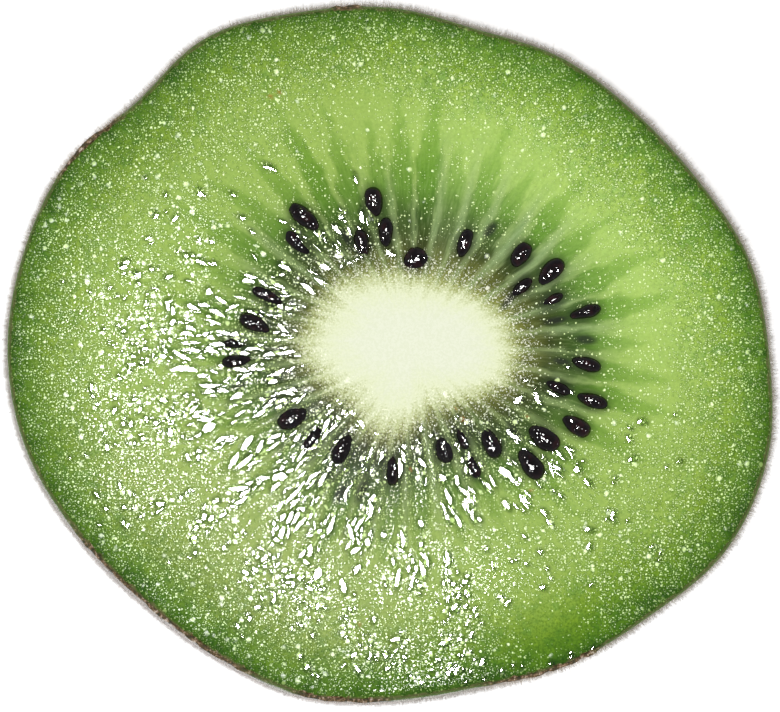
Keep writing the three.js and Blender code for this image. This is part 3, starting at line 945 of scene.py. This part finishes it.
def seed_geometry(seed, proud):
    bearing, distance, length, width, lean = seed
    polar = np.pi * np.arange(1, SEED_RINGS) / SEED_RINGS
    turn = 2 * np.pi * np.arange(SEED_SEGMENTS) / SEED_SEGMENTS
    along = 0.5 * np.cos(polar)
    around = 0.5 * np.sin(polar) ** 0.92 * (1 + SEED_TAPER * 2 * along)
    rings = []
    for a, r in zip(along, around):
        across = r * np.cos(turn) * width
        up = r * np.sin(turn) * SEED_THICKNESS
        rings.append(np.stack([across, np.full_like(turn, a) * length, up], -1))
    points, faces = closed_rings(rings, [0, length / 2, 0], [0, -length / 2, 0])
    dent = 1 + 0.06 * value_noise(points[:, 0] + 7 * bearing, points[:, 1] + points[:, 2], 0.45, 31)
    points = points * dent[:, None]
    x, y = turned(points[:, 0], points[:, 1], bearing + lean - 90)
    cx, cy = on_spoke(CORE_CENTRE, bearing, distance)
    level = HEIGHT - POCKET_SUNK + proud - SEED_THICKNESS / 2
    return np.stack([x + cx, y + cy, points[:, 2] + level], -1), faces


def seed_parts():
    whole = [seed_geometry(seed, SEED_PROUD["whole"]) for seed in SEEDS]
    buried = [seed_geometry(seed, SEED_PROUD["buried"]) for seed in HALF_BURIED_SEEDS]
    return joined(whole + buried)


# ---- juice

DROP_TRIES = 9600
MOST_DROPS = 1080
DROP_SEGMENTS = 16
DROP_SHARES = [0.4, 0.75, 0.93, 1.0]
DROPS_REACH = (4.0, 24.5)  # from the core's centre
DRAWN_OUT_REACH = (7.5, 16)  # where drops are drawn out along the spokes
FLAT_TOP, ROUND_TOP = 6, 2  # powers of a drop's profile


def height_at(x, y):
    bearing, distance = about_core(x, y)
    from_core = distance - ring_radius(CORE_RADII, bearing)
    around = np.degrees(np.arctan2(y, x)) % 360
    from_rim = ring_radius(RIM_RADII, around) - np.hypot(x, y)
    fields = face_fields(x, y, from_rim)
    return face_height(x, y, fields), fields


def drop_geometry(rng, bearing, distance, length, width, lean, bend, tall, flatness, raised):
    """A low drop of juice: an uneven, bent oval, with a nearly flat top if its flatness is high."""
    x, y = on_spoke(CORE_CENTRE, bearing, distance)
    turn = 2 * np.pi * np.arange(DROP_SEGMENTS) / DROP_SEGMENTS
    edge = 1 + sum(
        rng.uniform(0, 0.24 / k) * np.cos(k * turn + rng.uniform(0, 6.3)) for k in (2, 3, 4)
    )
    blunt = np.sign(np.cos(turn)) * np.abs(np.cos(turn)) ** 0.8
    rings = []
    for share in DROP_SHARES:
        along = share * edge * blunt * length / 2
        across = share * edge * np.sin(turn) * width / 2 + bend * (2 * along / length) ** 2 * length / 2
        dx, dy = turned(along, across, bearing + lean)
        rings.append(np.stack([x + dx, y + dy, np.full_like(dx, tall * (1 - share**flatness))], -1))
    ground, _ = height_at(rings[-1][:, 0], rings[-1][:, 1])
    level = ground.mean() + 0.25 * (ground.max() - ground.mean()) + raised
    for ring in rings[:-1]:
        ring[:, 2] += level
    rings[-1][:, 2] = np.minimum(ground, level) - 0.02
    lower = rings[-1].copy()
    lower[:, 2] -= 0.1
    points, faces = closed_rings([*rings, lower], [x, y, level + tall], [x, y, level - 0.2])
    return points, faces


def with_profile(bearing, distance, length, width, lean, bend, tall, raised=0.0):
    """A drop with a flat top where that glints, or else with a low round one."""
    x, y = on_spoke(CORE_CENTRE, bearing, distance)
    slope = GLINT_SLOPE * np.hypot(x - LEVEL_GLINT[0], y - LEVEL_GLINT[1])
    flatness = FLAT_TOP
    if slope >= LEVEL_ENOUGH:
        tall = width * (slope + 0.05) / 4
        flatness = ROUND_TOP
    return bearing, distance, length, width, lean, bend, tall, flatness, raised


def drops_on_seeds(rng):
    """One to three small drops on top of each seed."""
    drops = []
    for seeds, proud in ((SEEDS, SEED_PROUD["whole"]), (HALF_BURIED_SEEDS, SEED_PROUD["buried"])):
        for bearing, distance, length, width, lean in seeds:
            cx, cy = on_spoke(CORE_CENTRE, bearing, distance)
            for _ in range(rng.integers(1, 4)):
                along, across = rng.uniform(-0.3, 0.3), rng.uniform(-0.22, 0.22)
                x, y = on_spoke((cx, cy), bearing + lean, along * length)
                x, y = on_spoke((x, y), bearing + lean + 90, across * width)
                sunk = SEED_THICKNESS / 2 * (1 - np.sqrt(1 - 4 * (along**2 + across**2)))
                ground, _ = height_at(np.array([x]), np.array([y]))
                raised = HEIGHT - POCKET_SUNK + proud - sunk - float(ground[0])
                size = rng.uniform(0.16, 0.34)
                at, out = about_core(x, y)
                drops.append(with_profile(at, out, 1.3 * size, size, lean, 0.0, 0.02, raised))
    return drops


def drop_list():
    """Every drop of juice, as drop_geometry takes it."""
    rng = np.random.default_rng(41)
    drops = []
    for bearing, distance, length, width, lean, bend in LARGE_DROPS:
        length *= LARGE_DROPS_LONGER
        width *= LARGE_DROPS_WIDER
        drops.append(with_profile(bearing, distance, length, width, lean, bend, 0.03))
    for bearing, from_rim, width in RIM_DROPS:
        x, y = on_spoke(FRUIT_AXIS, bearing, ring_radius(RIM_RADII, bearing) - from_rim)
        width *= RIM_DROPS_WIDER
        drops.append(with_profile(*about_core(x, y), width, width, 0.0, 0.0, 0.04))
    drops += drops_on_seeds(rng)
    bearing = rng.uniform(0, 360, DROP_TRIES)
    nearest, farthest = DROPS_REACH
    distance = np.sqrt(rng.uniform(nearest**2, farthest**2, DROP_TRIES))
    _, fields = height_at(*on_spoke(CORE_CENTRE, bearing, distance))
    chance = fields["merged"] * (fields["from_core"] > 0.5) * (fields["from_rim"] > 0.8)
    for k in np.flatnonzero(rng.uniform(0, 1, DROP_TRIES) < 0.9 * chance)[:MOST_DROPS]:
        drawn_out = DRAWN_OUT_REACH[0] < distance[k] < DRAWN_OUT_REACH[1]
        size = 0.24 + 0.4 * rng.uniform() ** 2
        stretch = 1.2 + (2.4 * rng.uniform() if drawn_out else 0.8 * rng.uniform() ** 2)
        lean = rng.normal(0, 16 if drawn_out else 90)
        bend = rng.normal(0, 0.12)
        drops.append(with_profile(bearing[k], distance[k], size * stretch, size, lean, bend, 0.06 * size))
    return drops


def juice_parts(drops):
    rng = np.random.default_rng(43)
    return joined([drop_geometry(rng, *drop) for drop in drops])


drops = drop_list()
mesh_piece("flesh", flesh_geometry(drops), flesh_material())
mesh_piece("skin", skin_geometry(), skin_material())
fuzz = fuzz_material()
all_over = fuzz_geometry(21, 46000, lowest_share=0.97, thinning=1.0, upright=0.9)
mesh_piece("fuzz", all_over, fuzz)
near_the_cut = fuzz_geometry(22, 36000, lowest_share=0.15, thinning=0.4, upright=1.2)
mesh_piece("fuzz_by_cut", near_the_cut, fuzz)
mesh_piece("seeds", seed_parts(), seed_material())
mesh_piece("juice", juice_parts(drops), juice_material())

# ---- studio

FRAME_WIDTH_PX = 780
FACE_WIDTH_PX = 767
FACE_WIDTH = 52.0
LENS = 200.0
SENSOR = 36.0
FLASH_PLACE = (-16, -16, HEIGHT + 340)
FLASH_WIDTH = 86
FLASH_RADIANCE = 62
FLOOR_WIDTH = 6  # metres


def add_camera():
    camera = bpy.data.cameras.new("camera")
    camera.lens = LENS
    camera.sensor_width = SENSOR
    camera.clip_start = 0.01
    view_width = FACE_WIDTH * FRAME_WIDTH_PX / FACE_WIDTH_PX
    above_face = view_width * LENS / SENSOR
    holder = bpy.data.objects.new("camera", camera)
    holder.location = (0, 0, (HEIGHT + above_face) * MM)
    bpy.context.scene.collection.objects.link(holder)
    bpy.context.scene.camera = holder


def add_disc_light(name, place, size, radiance):
    light = bpy.data.lights.new(name, "AREA")
    light.shape = "DISK"
    light.size = size * MM
    light.energy = radiance * np.pi * np.pi * (size * MM / 2) ** 2
    holder = bpy.data.objects.new(name, light)
    holder.location = [v * MM for v in place]
    holder.visible_transmission = False  # juice already lets this light through to the flesh
    bpy.context.scene.collection.objects.link(holder)


def add_world(low, high):
    """Soft light from all round, of strength low at the horizon and high straight above."""
    world = bpy.data.worlds.new("studio")
    world.use_nodes = True
    nodes, links = world.node_tree.nodes, world.node_tree.links
    heading = nodes.new("ShaderNodeTexCoord").outputs["Generated"]
    upward = nodes.new("ShaderNodeSeparateXYZ")
    links.new(heading, upward.inputs[0])
    strength = nodes.new("ShaderNodeMapRange")
    strength.inputs["To Min"].default_value = low
    strength.inputs["To Max"].default_value = high
    links.new(upward.outputs["Z"], strength.inputs["Value"])
    background = nodes["Background"]
    background.inputs["Color"].default_value = (1, 1, 1, 1)
    links.new(strength.outputs[0], background.inputs["Strength"])
    bpy.context.scene.world = world


def add_floor():
    """A floor that glows a little, so that the ground round the fruit is white."""
    bpy.ops.mesh.primitive_plane_add(size=FLOOR_WIDTH)
    floor = bpy.context.object
    floor.name = "floor"
    g = Graph("floor")
    g.surface({"Base Color": (0.9, 0.9, 0.9, 1), "Roughness": 0.9})
    g.surface({"Emission Color": (1, 1, 1, 1), "Emission Strength": 0.65})
    floor.data.materials.append(g.material)


add_camera()
add_disc_light("flash", FLASH_PLACE, FLASH_WIDTH, FLASH_RADIANCE)
add_world(low=0.35, high=0.12)
add_floor()
bpy.context.scene.view_settings.view_transform = "Standard"
